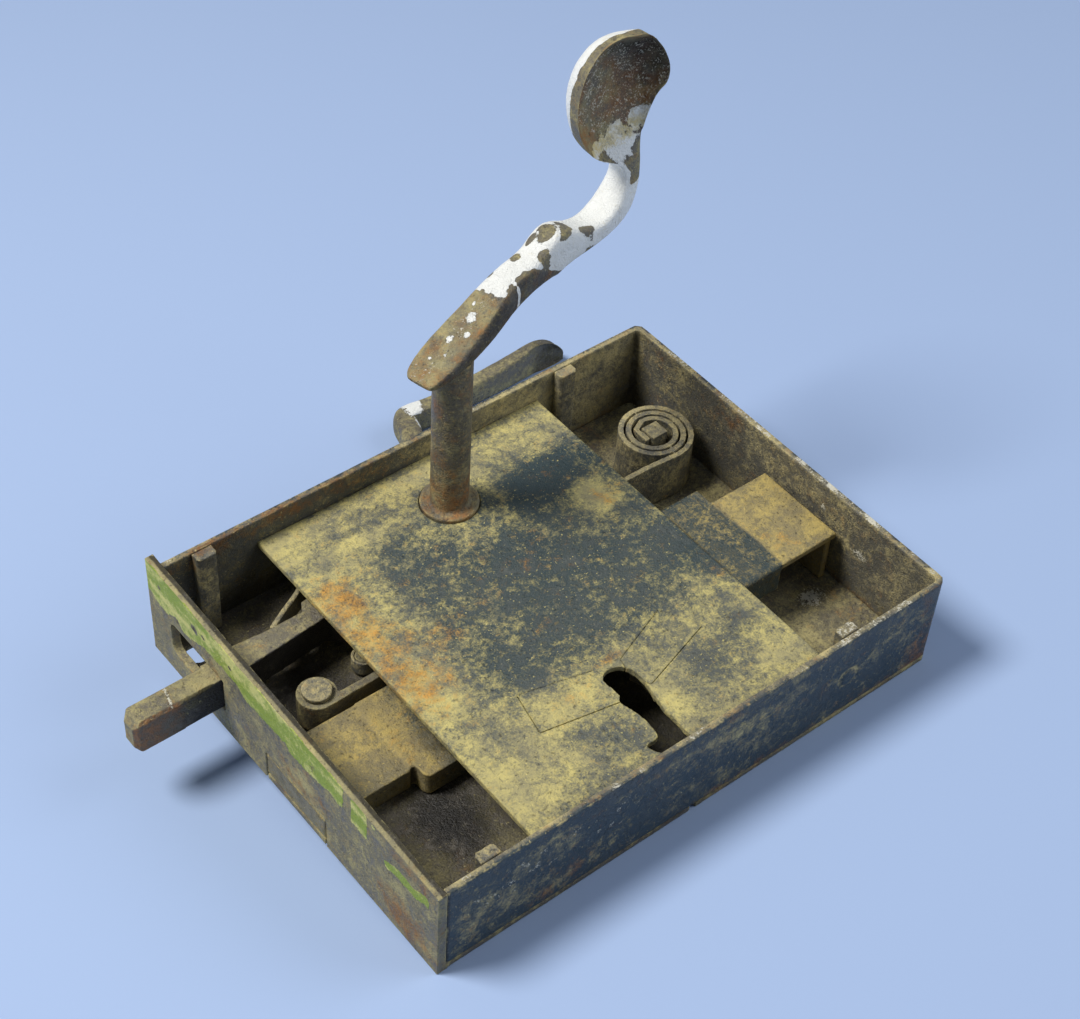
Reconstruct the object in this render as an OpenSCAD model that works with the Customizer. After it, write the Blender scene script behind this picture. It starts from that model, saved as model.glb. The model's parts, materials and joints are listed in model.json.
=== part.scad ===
// Rim box lock, lying with its open door side up: a riveted iron case that holds a lifting
// latch, a sliding deadbolt with one tumbler, and a through spindle with a lever at each end.
// Millimetres. X runs from the forend to the rear wall, Y runs up the door, and Z runs out of
// the open side. The origin is the centre of the four fixing holes, on the case's outer face.
// Places inside the case are measured from its lower front corner.

/* [Case] */
// Length of the case, from the forend's outer face to the rear wall
case_l = 152; // [145:1:190]
// Width of the case, up the door
case_w = 115; // [112:1:150]
// Depth of the case, from the outer face to the rim
case_h = 28.6; // [25:0.2:40]
// Thickness of the base plate
base_t = 2; // [1.5:0.1:3]
// Thickness of the bent wall strip
wall_t = 2; // [1.5:0.1:3]
// Outer bend radius of the wall strip at the rear corners
bend_r = 3; // [2:0.5:6]
// Thickness of the forend plate
forend_t = 2.4; // [1.6:0.1:4]
// Rise of the forend above the rim at its upper end
forend_rise = 3; // [0.5:0.1:5]
// Overhang of the forend past the upper wall
forend_over = 1; // [0:0.1:2]
// Radius of the four fixing holes
fixing_r = 3.1; // [2:0.1:4]
// Fixing hole centres, in from the forend and from the rear wall
fixing_in_x = 6.5; // [6:0.5:9]
// Fixing hole centres, in from the lower and upper walls
fixing_in_y = 8.5; // [6.5:0.5:10]

/* [Wall studs] */
// Width of a wall stud along its wall
stud_w = 5.6; // [4:0.2:8]
// Depth of a wall stud, out from its wall
stud_d = 3.2; // [2.6:0.2:6]
// Front stud of the lower wall, back from the forend
low_stud_front = 15.4; // [13:0.2:20]
// Rear stud of the lower wall, in from the rear wall
low_stud_rear = 30.6; // [20:0.2:34]
// Front stud of the upper wall, back from the forend
high_stud_front = 13.6; // [13:0.2:20]
// Rear stud of the upper wall, in from the rear wall
high_stud_rear = 28; // [20:0.2:34]
// Radius of a stud rivet
stud_rivet_r = 1.8; // [1:0.1:2]
// Height of the stud rivets above the outer face
stud_rivet_z = 14.2; // [8:0.2:20]

/* [Cover plate] */
// Clear height between the base plate and the cover plate
chamber_h = 17.5; // [16.5:0.1:20]
// Thickness of the cover plate
cover_t = 2; // [1:0.1:3]
// Front edge of the cover plate, back from the forend
cover_front_x = 29; // [26:0.5:32]
// Rear edge of the cover plate, in from the rear wall
cover_rear_x = 36; // [32:0.5:40]
// Radius of a cover pillar
pillar_r = 3.5; // [2.5:0.1:5]
// Radius of the riveted ends of pillars, studs and posts
tenon_r = 2.2; // [1.5:0.1:2.4]

/* [Handle] */
// Spindle axis, back from the forend
backset = 75.2; // [72:0.2:80]
// Spindle axis, down from the upper wall's outer face
spindle_drop = 18.3; // [16:0.1:22]
// Radius of the round spindle shank
shank_r = 5; // [4:0.1:5.5]
// Side of the spindle's square part
square_w = 8; // [6:0.1:8.5]
// Radius of the follower collars that turn in the base and cover plates
collar_r = 7.6; // [7:0.1:8.5]
// Radius of the follower's body
follower_r = 9; // [8.5:0.1:9.4]
// Door thickness that the spindle is made for, from the rim to the spoon handle
door_t = 40.9; // [30:0.1:60]
// Angle of the spoon handle above the case's long axis at rest
handle_raise = 14; // [0:1:25]
// Angle of the case handle's arm above the case's long axis at rest
case_handle_raise = 62.8; // [40:0.2:75]

/* [Latch] */
// Projection of the latch bar beyond the forend
latch_reach = 23.4; // [10:0.2:30]
// Height of the latch head, up the door
latch_w = 7; // [5:0.1:8]
// Thickness of the latch head, along the spindle
latch_t = 10; // [6:0.1:11]
// Latch pivot, back from the forend
latch_pivot_x = 48; // [46:0.5:50]
// Radius of the latch pivot
latch_pivot_r = 3; // [2:0.1:3.5]
// Height of the slot in the forend, up the door
latch_slot = 22.8; // [18:0.2:23]

/* [Deadbolt] */
// Lower edge of the deadbolt's head, up from the lower wall's outer face
bolt_y = 42.5; // [40:0.5:44]
// Width of the deadbolt's head
bolt_w = 23.5; // [20:0.5:24]
// Thickness of the deadbolt
bolt_t = 6.8; // [5:0.1:7]
// Throw of the deadbolt
bolt_throw = 13; // [8:0.5:13]
// Thickness of the raised tail plate
tail_t = 2; // [1.5:0.1:3]

/* [Key way] */
// Key axis, back from the forend
key_x = 72.5; // [70:0.5:75]
// Key axis, up from the lower wall's outer face
key_y = 26.5; // [26:0.5:28]
// Radius of the round head of the keyhole
key_head_r = 4.4; // [3:0.1:5]
// Width of the keyhole's stem
key_stem_w = 4.8; // [4.4:0.1:5.5]

/* [Springs] */
// Thickness of the spiral spring's strip
coil_t = 1.55; // [0.8:0.05:1.6]
// Radius of the spiral spring's outer turn, at the middle of the strip
coil_r = 10.1; // [9.6:0.1:11]
// Step of the spiral spring from turn to turn
coil_pitch = 2.05; // [2:0.05:2.1]
// Number of turns in the spiral spring
coil_turns = 2.5; // [1.75:0.25:2.5]
// Side of the square spring post
post_w = 5; // [4:0.2:5]

/* [Fits] */
// Radial clearance of turning fits
run_fit = 0.06; // [0.02:0.01:0.1]
// Clearance round riveted and inlaid pieces
rivet_fit = 0.03; // [0.01:0.01:0.1]
// Clearance beside sliding and swinging pieces
slide_fit = 0.3; // [0.2:0.05:0.5]

/* [Hidden] */
$fn = 48;

// Overcut of a through hole past both faces
cut = 1;
// Levels of the cover plate
cover_z = base_t + chamber_h;
cover_top = cover_z + cover_t;
// Inner faces of the walls
rear_in = case_l - wall_t;
top_in = case_w - wall_t;
// Spindle axis
spindle_y = case_w - spindle_drop;
// Underside of the spoon handle's hub
hub_z = case_h + door_t;
// Colours
iron_rust = [0.36, 0.27, 0.17];
iron_dark = [0.17, 0.17, 0.18];
iron_ochre = [0.55, 0.43, 0.22];
paint_white = [0.90, 0.89, 0.84];

// Moves a shape from the case's lower front corner to the part's frame
module in_case() {
  translate([-case_l / 2, -case_w / 2, 0]) children();
}

// Upright prism between two levels
module prism(z0, z1) {
  translate([0, 0, z0]) linear_extrude(z1 - z0) children();
}

// Upright rod between two levels
module rod(at, r, z0, z1) {
  translate([at[0], at[1], z0]) cylinder(r = r, h = z1 - z0);
}

// Upright block between two corners
module block(low, high) {
  translate(low) cube(high - low);
}

// Plan of the case with its two rear corners rounded
module case_plan(x0, y0, x1, y1, r) {
  translate([x0, y0]) square([x1 - x0 - r, y1 - y0]);
  translate([x0, y0 + r]) square([x1 - x0, y1 - y0 - 2 * r]);
  for (y = [y0 + r, y1 - r]) translate([x1 - r, y]) circle(r);
}

// Outline of a strip of thickness t along a path of points
function left_of(path, i) =
  let (a = path[max(i - 1, 0)], b = path[min(i + 1, len(path) - 1)], d = (b - a) / norm(b - a))
  [-d[1], d[0]];
function strip(path, t) = concat(
  [for (i = [0 : len(path) - 1]) path[i] + left_of(path, i) * t / 2],
  [for (i = [len(path) - 1 : -1 : 0]) path[i] - left_of(path, i) * t / 2]);
function arc(centre, r, from, to, steps) =
  [for (i = [0 : steps]) let (a = from + (to - from) * i / steps) centre + r * [cos(a), sin(a)]];

// Smooth curve through rows of values, with a number of steps between rows
function blend(p0, p1, p2, p3, u) =
  0.5 * (2 * p1 + (p2 - p0) * u + (2 * p0 - 5 * p1 + 4 * p2 - p3) * u * u
         + (3 * p1 - p0 - 3 * p2 + p3) * u * u * u);
function smooth(rows, steps) = concat(
  [for (i = [0 : len(rows) - 2], k = [0 : steps - 1])
    blend(rows[max(i - 1, 0)], rows[i], rows[i + 1], rows[min(i + 2, len(rows) - 1)], k / steps)],
  [rows[len(rows) - 1]]);

// Section of a forged lever: half height h, and how far its back and front stand out.
// A front below zero is a hollow with a lip round it. The two arcs meet in a flat edge.
lever_edge = 1.6;
lip_share = 0.28;
section_steps = 9;
section_power = 0.62;
function bulge(a) = pow(abs(sin(a)), section_power);
function side(a) = sign(cos(a)) * pow(abs(cos(a)), section_power);
function section(h, back, front) =
  let (hollow_h = h + lip_share * min(front, 0))
  concat(
    [for (i = [0 : section_steps]) let (a = 180 * i / section_steps)
      [h * side(a), lever_edge / 2 + back * bulge(a)]],
    [for (i = [0 : section_steps]) let (a = 180 * i / section_steps, edge = i % section_steps == 0)
      [-(edge ? h : hollow_h) * side(a), -lever_edge / 2 - front * bulge(a)]]);

// Solid through rings of equal numbers of points
module skin(rings) {
  n = len(rings[0]);
  last = len(rings) - 1;
  walls = [for (k = [0 : last - 1], i = [0 : n - 1]) let (a = k * n + i, b = k * n + (i + 1) % n)
    each [[a, b, b + n], [a, b + n, a + n]]];
  ends = [for (i = [1 : n - 2]) each [[0, i + 1, i], [last * n, last * n + i, last * n + i + 1]]];
  polyhedron(points = [for (ring = rings) each ring], faces = concat(walls, ends));
}

// Direction of a path of rows in its first two columns
function heading(rows, i) =
  let (a = rows[max(i - 1, 0)], b = rows[min(i + 1, len(rows) - 1)])
  atan2(b[1] - a[1], b[0] - a[0]);

// Outline of the keyhole in the base plate, from the key axis
module keyhole() {
  circle(key_head_r);
  translate([0.1 - key_stem_w / 2, -17]) square([key_stem_w, 17]);
  polygon([[-3.3, -15], [-7, -18.2], [-4.5, -22], [2.2, -21.6], [1.5, -15]]);
}

// Outline of the keyhole in the cover plate, from the key axis: a round head beside the left
// tab, a curved stem and a hooked foot
cover_keyhole = [
  [-3, 3.2], [-1.6, 4.5], [0.4, 4.8], [2.3, 4.2], [3.8, 2.7], [4.6, 0.3], [4.5, -3.2], [3.9, -6.2],
  [3.3, -9.4], [2.8, -12], [2.9, -15.6], [2.7, -19], [2.3, -21.8], [-4, -22], [-5.8, -20.8],
  [-6.8, -19.2], [-7.1, -17.4], [-3.6, -17.1], [-2.8, -14.6], [-2.6, -11.2], [-3.2, -7.4], [-4, -4.2],
  [-3, -2.9], [-2.8, -1.2], [-3.1, 1.6],
];
module cover_keyhole_plan() {
  polygon(smooth(concat(cover_keyhole, [cover_keyhole[0]]), 3));
}

// Outlines of the left and right ward tabs, from the key axis
ward_tab_plans = [
  [[-22, 11.4], [-2.9, 6.7], [-1.4, 3], [-1.4, -2], [-4, -4.2], [-24.4, -0.3]],
  [[4.2, 5.6], [21.6, 12.1], [26.8, 2.1], [5.2, -4.4], [3.2, 0]],
];
module ward_tab_plan(k) {
  difference() {
    polygon(ward_tab_plans[k]);
    cover_keyhole_plan();
  }
}

// Places of the riveted posts
fixings = [for (x = [fixing_in_x, case_l - fixing_in_x], y = [fixing_in_y, case_w - fixing_in_y]) [x, y]];
low_studs = [low_stud_front, case_l - low_stud_rear];
high_studs = [high_stud_front, case_l - high_stud_rear];
pillars = [
  [backset - 15.8, case_w - 8.6],
  [case_l - cover_rear_x - 12, case_w - 8],
  [cover_front_x + 7, 9],
  [case_l - cover_rear_x - 7, 9],
];
latch_pivot_at = [latch_pivot_x, spindle_y - 12.2];
coil_at = [case_l - 15.2, spindle_y - 7.3];
guide_at = [90, bolt_y + 13.5];
tumbler_at = [18.5, bolt_y + bolt_w + 6.5];
tumbler_spring_at = [36, tumbler_at[1] + 6];
posts = concat(pillars, [latch_pivot_at, coil_at, guide_at, tumbler_at, tumbler_spring_at]);

// Forend openings: the latch slot and the deadbolt notch
latch_y = spindle_y - 12.7;
latch_z = base_t + 5.5;
bolt_z = base_t + 0.2;
bolt_top = bolt_z + bolt_t;

// Depth of the nick in the base plate's lower edge
edge_nick = 1.2;

module base_plate() {
  color(iron_rust) in_case() difference() {
    union() {
      prism(0, base_t) case_plan(forend_t, 0, case_l, case_w, bend_r);
      block([0, bolt_y, 0], [forend_t, bolt_y + bolt_w, base_t]);
    }
    for (at = fixings) rod(at, fixing_r, -cut, base_t + cut);
    for (at = posts) rod(at, tenon_r + rivet_fit, -cut, base_t + cut);
    rod([backset, spindle_y], collar_r + run_fit, -cut, base_t + cut);
    translate([key_x, key_y]) prism(-cut, base_t + cut) keyhole();
    // Nick in the lower edge
    block([key_x + 0.6, -cut, -cut], [key_x + 2.4, edge_nick, base_t + cut]);
  }
}

module rim_band() {
  inner_r = max(bend_r - wall_t, 0.3);
  color(iron_dark) in_case() difference() {
    prism(base_t, case_h) case_plan(forend_t, 0, case_l, case_w, bend_r);
    prism(base_t - cut, case_h + cut) case_plan(forend_t - cut, wall_t, rear_in, top_in, inner_r);
    at_studs() translate([0, -wall_t - cut, stud_rivet_z]) rotate([-90, 0, 0])
      cylinder(r = stud_rivet_r + rivet_fit, h = wall_t + 2 * cut);
    for (x = leaf_rivets_x) translate([x, top_in - cut, leaf_mid_z]) rotate([-90, 0, 0])
      cylinder(r = leaf_rivet_r + rivet_fit, h = wall_t + 2 * cut);
  }
}

// Outline of the latch slot, with its far corners rounded
slot_corner_r = 2.4;
module slot_plan(l, h) {
  square([l - slot_corner_r, h]);
  hull() for (z = [slot_corner_r, h - slot_corner_r]) translate([l - slot_corner_r, z]) circle(slot_corner_r);
}

module forend_plate() {
  top = case_w + forend_over;
  color(iron_rust) in_case() rotate([90, 0, 90]) linear_extrude(forend_t) difference() {
    polygon([[0, 0], [top, 0], [top, case_h + forend_rise], [0, case_h]]);
    translate([latch_y - slide_fit * 2, latch_z - slide_fit]) slot_plan(latch_slot, latch_t + 2 * slide_fit);
    translate([bolt_y - slide_fit, -cut]) square([bolt_w + 2 * slide_fit, bolt_top + slide_fit + cut]);
  }
}

// One wall stud on the lower wall, with its inner corners cut off
module wall_stud() {
  nose = stud_w / 7;
  prism(base_t, case_h) polygon([
    [-stud_w / 2, 0], [stud_w / 2, 0], [stud_w / 2, stud_d - nose],
    [stud_w / 2 - nose, stud_d], [nose - stud_w / 2, stud_d], [-stud_w / 2, stud_d - nose]]);
}

// Puts a lower wall piece on both walls at each stud
module at_studs() {
  for (x = low_studs) translate([x, wall_t, 0]) children();
  for (x = high_studs) translate([x, top_in, 0]) mirror([0, 1, 0]) children();
}

module wall_studs() {
  color(iron_rust) in_case() at_studs() difference() {
    wall_stud();
    translate([0, -cut, stud_rivet_z]) rotate([-90, 0, 0])
      cylinder(r = stud_rivet_r + rivet_fit, h = stud_d * 0.7 + cut);
  }
}

module stud_rivets() {
  head = 0.4;
  color(iron_dark) in_case() at_studs() translate([0, 0, stud_rivet_z]) rotate([-90, 0, 0]) {
    translate([0, 0, -wall_t]) cylinder(r = stud_rivet_r, h = wall_t + stud_d * 0.7 - rivet_fit);
    translate([0, 0, -wall_t - head]) cylinder(r1 = stud_rivet_r, r2 = stud_rivet_r * 1.6, h = head);
  }
}

module cover_plate() {
  color(iron_dark) in_case() difference() {
    block([cover_front_x, wall_t, cover_z], [case_l - cover_rear_x, top_in, cover_top]);
    for (at = pillars) rod(at, tenon_r + rivet_fit, cover_z - cut, cover_top + cut);
    rod([backset, spindle_y], collar_r + run_fit, cover_z - cut, cover_top + cut);
    translate([key_x, key_y]) prism(cover_z - cut, cover_top + cut) {
      cover_keyhole_plan();
      for (k = [0, 1]) ward_tab_plan(k);
    }
  }
}

// Post between two levels, riveted into the base plate
module riveted_post(at, r, top) {
  rod(at, tenon_r, 0, base_t);
  rod(at, r, base_t, top);
}

module cover_pillars() {
  color(iron_rust) in_case() for (at = pillars) {
    riveted_post(at, pillar_r, cover_z);
    rod(at, tenon_r, cover_z, cover_top);
  }
}

// Ward sizes: a foot under each tab, and a bow that the key's bit passes
ward_foot_t = 1.4;
ward_bow_r = 8.3;
ward_bow_t = 1.4;
ward_bow_h = 7;
ward_rivet_at = [12.7, 3.3];
ward_rivet_r = 2.4;

module at_wards() {
  for (m = [0, 1]) translate([key_x, key_y]) mirror([m, 0]) children();
}

module ward_tabs() {
  color(iron_dark) in_case() difference() {
    translate([key_x, key_y]) prism(cover_z, cover_top) for (k = [0, 1]) ward_tab_plan(k);
    at_wards() rod(ward_rivet_at, ward_rivet_r + rivet_fit, cover_z - cut, cover_top + cut);
  }
}

module ward_bows() {
  color(iron_rust) in_case() at_wards() difference() {
    union() {
      prism(cover_z - ward_foot_t, cover_z) polygon([[8.6, 5.8], [18, 10.4], [21.5, -1.6], [8.6, -5]]);
      translate([0, 0, cover_z - ward_bow_h]) rotate([0, 0, -28]) rotate_extrude(angle = 62)
        translate([ward_bow_r, 0]) square([ward_bow_t, ward_bow_h - ward_foot_t / 2]);
    }
    rod(ward_rivet_at, ward_rivet_r + rivet_fit, cover_z - ward_foot_t - cut, cover_z + cut);
  }
}

module ward_rivets() {
  color(iron_rust) in_case() at_wards() {
    rod(ward_rivet_at, ward_rivet_r, cover_z - ward_foot_t, cover_top);
    rod(ward_rivet_at, ward_rivet_r * 1.3, cover_z - ward_foot_t - 0.8, cover_z - ward_foot_t);
  }
}

// Follower: two collars, a body, and a finger that presses the latch tail down
follower_z = base_t + 1;
follower_h = chamber_h - 1.8;
finger_r = 2.5;
finger_reach = 17.5;
finger_drop = 6.6;
finger_run = sqrt(finger_reach * finger_reach - finger_drop * finger_drop);

module on_spindle() {
  in_case() translate([backset, spindle_y]) children();
}

module follower() {
  finger_low = latch_z + 0.3;
  finger_high = latch_tail_z - 0.3;
  color(iron_ochre) on_spindle() difference() {
    union() {
      rod([0, 0], collar_r, -0.5, cover_top + 0.8);
      rod([0, 0], follower_r, follower_z, follower_z + follower_h);
      prism(finger_low, finger_high) {
        polygon([[0, 5.5], [finger_run, -finger_drop + finger_r],
                 [finger_run - finger_r * 0.6, -finger_drop - finger_r * 0.6], [0, -6.5]]);
        translate([finger_run, -finger_drop]) circle(finger_r);
      }
    }
    block([-1, -1, 0] * (square_w / 2 + rivet_fit) + [0, 0, -cut],
          [1, 1, 0] * (square_w / 2 + rivet_fit) + [0, 0, cover_top + 2 * cut]);
  }
}

// Spindle ends: a blind tenon in the spoon handle and a square in the case handle
spoon_tenon_r = 3.6;
spoon_tenon_h = 4.2;
case_hub_top = -1.2;
case_hub_h = 9;
pin_r = 1.6;
pin_z = case_hub_top - case_hub_h / 2;

module spindle() {
  shoulder = cover_top + 0.8;
  color(iron_rust) on_spindle() difference() {
    union() {
      block([-square_w / 2, -square_w / 2, case_hub_top - case_hub_h],
            [square_w / 2, square_w / 2, shoulder]);
      rod([0, 0], shank_r, shoulder, hub_z);
      rod([0, 0], spoon_tenon_r, hub_z, hub_z + spoon_tenon_h);
    }
    at_pin() cylinder(r = pin_r + rivet_fit, h = 40, center = true);
  }
}

// Axis of the cross pin, square to the case handle's arm
module at_pin() {
  translate([0, 0, pin_z]) rotate([0, 0, case_handle_raise]) rotate([90, 0, 0]) children();
}

// Spoon handle rows: distance along the lever, height over the hub's underside, half height,
// how far the back stands out, how far the front stands out or, below zero, is hollowed, and the
// section's turn about the lever's path
spoon_rows = [
  [-12.9, 0.4, 0.7, 2.4, 2.4, 0],
  [-11.2, 0.8, 1.6, 3.9, 3.9, 0],
  [-6, 1.8, 2.2, 4.9, 4.9, 0],
  [0, 3.0, 3.1, 5.1, 5.1, 0],
  [8, 4.7, 3.9, 4.8, 4.8, 0],
  [15, 7.2, 4.3, 4.2, 4.2, 0],
  [22, 8.6, 4.5, 3.7, 3.7, 0],
  [30, 9.0, 4.7, 3.5, 3.5, 0],
  [35.6, 10.2, 6.9, 3.7, 3.7, 0],
  [42, 8.8, 4.9, 3.5, 3.5, 0],
  [50, 7.0, 3.3, 3.6, 3.6, 0],
  [57, 7.3, 3.3, 3.8, 3.8, 0],
  [62.5, 9.5, 4.1, 3.8, 3.6, 0],
  [65.8, 14, 3.6, 3.4, 2.8, 0],
  [66.5, 18.5, 3.6, 3.0, 1.8, 0],
  [65.6, 23.5, 5.4, 3.4, 0.2, 2],
  [63.2, 29.4, 9.8, 4.4, -3.0, 6],
  [61.4, 36, 13.6, 6.2, -5.6, 9],
  [61.9, 42.2, 15.4, 7.0, -6.6, 10],
  [63.6, 48.2, 14.4, 6.4, -5.8, 10],
  [65.5, 52.7, 10.2, 4.8, -3.6, 10],
  [66.5, 55, 4.6, 2.6, 0, 10],
  [66.7, 55.8, 1.4, 0.8, 0.4, 10],
];
spoon_steps = 2;

// Rings of a lever that rises in the plane of the spindle
function turned(p, a) = [p[0] * cos(a) - p[1] * sin(a), p[0] * sin(a) + p[1] * cos(a)];
function upright_rings(rows) = [for (i = [0 : len(rows) - 1])
  let (row = rows[i], a = heading(rows, i))
  [for (flat = section(row[2], row[3], row[4])) let (p = turned(flat, row[5]))
    [row[0] - p[0] * sin(a), p[1], row[1] + p[0] * cos(a)]]];

module spoon_handle() {
  color(paint_white) on_spindle() translate([0, 0, hub_z]) rotate([0, 0, handle_raise]) difference() {
    skin(upright_rings(smooth(spoon_rows, spoon_steps)));
    translate([0, 0, -cut]) cylinder(r = spoon_tenon_r + rivet_fit, h = spoon_tenon_h + cut);
    // Seat of the shank's shoulder
    translate([0, 0, -2 * cut]) cylinder(r = shank_r + slide_fit, h = 2 * cut);
  }
}

// Case handle rows, from the spindle: along and across the arm's rest frame, height of the
// middle, half height, and how far the back and the front stand out
grip_y = 58.2;
grip_x = grip_y / tan(case_handle_raise);
arm = [cos(case_handle_raise), sin(case_handle_raise)];
function along_arm(d) = arm * d;
arm_l = norm([grip_x, grip_y]);
case_rows = [
  [each along_arm(-11.5), pin_z + 0.4, 1.2, 2.2, 2.2],
  [each along_arm(-9.5), pin_z + 0.2, 3.2, 4.4, 4.4],
  [each along_arm(-4), pin_z, 4.4, 5.4, 5.4],
  [each along_arm(4), pin_z, 4.4, 5.4, 5.4],
  [each along_arm(13), pin_z - 0.6, 4.0, 4.4, 4.4],
  [each along_arm(30), pin_z - 3.2, 3.7, 3.4, 3.4],
  [each along_arm(46), pin_z - 5.6, 3.7, 3.0, 3.0],
  [each along_arm(arm_l - 6), pin_z - 7, 4.0, 2.8, 2.4],
  [grip_x - 0.4, grip_y, pin_z - 7.4, 4.3, 4.0, 2.0],
  [grip_x + 7, grip_y, pin_z - 7.5, 4.3, 1.8, 1.9],
  [grip_x + 22, grip_y, pin_z - 7.5, 4.3, 1.9, 1.9],
  [grip_x + 36, grip_y, pin_z - 7.2, 4.7, 2.1, 1.6],
  [grip_x + 44, grip_y, pin_z - 7.0, 5.3, 2.4, 0.2],
  [grip_x + 49, grip_y, pin_z - 7.6, 5.0, 2.4, -1.0],
  [grip_x + 53, grip_y, pin_z - 9.0, 3.6, 2.2, -0.9],
  [grip_x + 55.5, grip_y, pin_z - 10.6, 1.6, 1.4, 0.2],
];
case_steps = 2;

// Rings of a lever that lies in a plane along the case
function flat_rings(rows) = [for (i = [0 : len(rows) - 1])
  let (row = rows[i], a = heading(rows, i))
  [for (p = section(row[3], row[4], row[5])) [row[0] - p[1] * sin(a), row[1] + p[1] * cos(a), row[2] + p[0]]]];

module case_handle() {
  color(paint_white) on_spindle() difference() {
    mirrored_skin(flat_rings(smooth(case_rows, case_steps)));
    block([-1, -1, 0] * (square_w / 2 + rivet_fit) + [0, 0, -40],
          [1, 1, 0] * (square_w / 2 + rivet_fit) + [0, 0, cut]);
    at_pin() cylinder(r = pin_r + rivet_fit, h = 40, center = true);
  }
}

// Solid through rings that run the other way round
module mirrored_skin(rings) {
  skin([for (ring = rings) [for (i = [len(ring) - 1 : -1 : 0]) ring[i]]]);
}

module handle_pin() {
  color(iron_dark) on_spindle() at_pin() cylinder(r = pin_r, h = 13.2, center = true);
}

// Latch: a bar from its tip to its pivot, and a tail under the follower's finger
latch_high = latch_z + latch_t;
latch_tail_z = latch_z + 7;
latch_boss_r = 7;
latch_tail_end = backset + 18.8;
latch_tail_y = latch_pivot_at[1] + 2.8;
tail_low_y = latch_pivot_at[1] - 2;
tip_bevel = 2.8;
// Step of the bar under the leaf spring
step_x = 29;
step_y = latch_y + latch_w + 0.8;

module latch_bar() {
  y0 = latch_y;
  y1 = latch_y + latch_w;
  color(iron_ochre) in_case() difference() {
    union() {
      prism(latch_z, latch_high) polygon([
        [-latch_reach, y0], [5, y0 + 0.3], [5, y1], [-latch_reach, y1]]);
      prism(latch_z, latch_high - 1) {
        polygon([
          [4, y0 + 0.3], [31, y0 + 2.8], [38, latch_pivot_at[1] - 4],
          [latch_pivot_x, latch_pivot_at[1] - latch_boss_r], [latch_pivot_x, latch_pivot_at[1] + latch_boss_r],
          [36, step_y + 3.2], [step_x, step_y + 2.7], [step_x - 1.4, step_y], [18, step_y], [4, y1 + 2]]);
        translate(latch_pivot_at) circle(latch_boss_r);
      }
      prism(latch_z, latch_tail_z) polygon([
        [latch_pivot_x, tail_low_y - 3], [latch_tail_end, tail_low_y],
        [latch_tail_end, latch_tail_y], [latch_pivot_x, latch_tail_y]]);
    }
    rod(latch_pivot_at, latch_pivot_r + run_fit, 0, cover_z);
    // Bevels round the tip
    translate([-latch_reach, (y0 + y1) / 2, latch_high]) rotate([0, 45, 0])
      cube([tip_bevel, latch_w + 2 * cut, tip_bevel], center = true);
    translate([-latch_reach, (y0 + y1) / 2, latch_z]) rotate([0, 45, 0])
      cube([tip_bevel * 0.8, latch_w + 2 * cut, tip_bevel * 0.8], center = true);
    for (corner = [[y0, 0.6], [y1, 1.1]])
      translate([-latch_reach, corner[0], (latch_z + latch_high) / 2]) rotate([0, 0, 45])
        cube([tip_bevel * corner[1], tip_bevel * corner[1], latch_t + 2 * cut], center = true);
    // Bevels along the upper edges of the part outside the forend
    for (y = [y0, y1]) translate([-latch_reach / 2 - cut, y, latch_high]) rotate([45, 0, 0])
      cube([latch_reach - cut, tip_bevel * 0.5, tip_bevel * 0.5], center = true);
  }
}

module latch_pivot() {
  color(iron_rust) in_case() {
    riveted_post(latch_pivot_at, latch_pivot_r + 1.5, latch_z - slide_fit);
    rod(latch_pivot_at, latch_pivot_r, latch_z - slide_fit, cover_z - slide_fit);
  }
}

// Leaf spring: a foot along the upper wall and a blade that presses the latch head down
leaf_t = 1.4;
leaf_low = latch_z + 0.8;
leaf_high = latch_z + 7.5;
leaf_mid_z = (leaf_low + leaf_high) / 2;
leaf_rivet_r = 1.3;
leaf_foot_x = backset - 9;
leaf_rivets_x = [leaf_foot_x - 4, leaf_foot_x - 11];
leaf_tip_x = 19.5;
leaf_tip_y = step_y + slide_fit + leaf_t / 2;
leaf_wall_y = top_in - leaf_t / 2;
leaf_path = concat([[leaf_foot_x, leaf_wall_y]], smooth([
  [leaf_foot_x - 15, leaf_wall_y], [leaf_foot_x - 22, leaf_wall_y - 3],
  [33, leaf_tip_y + 7.4], [24, leaf_tip_y + 2.5], [leaf_tip_x, leaf_tip_y]], 5));

module latch_spring() {
  color(iron_dark) in_case() difference() {
    prism(leaf_low, leaf_high) polygon(strip(leaf_path, leaf_t));
    for (x = leaf_rivets_x) translate([x, top_in - 4, leaf_mid_z]) rotate([-90, 0, 0])
      cylinder(r = leaf_rivet_r + rivet_fit, h = 8);
  }
}

module latch_spring_rivets() {
  head = 0.7;
  color(iron_rust) in_case() for (x = leaf_rivets_x) translate([x, top_in - leaf_t, leaf_mid_z])
    rotate([-90, 0, 0]) {
      cylinder(r = leaf_rivet_r, h = leaf_t + wall_t);
      translate([0, 0, -head]) cylinder(r = leaf_rivet_r * 1.6, h = head);
    }
}

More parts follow.
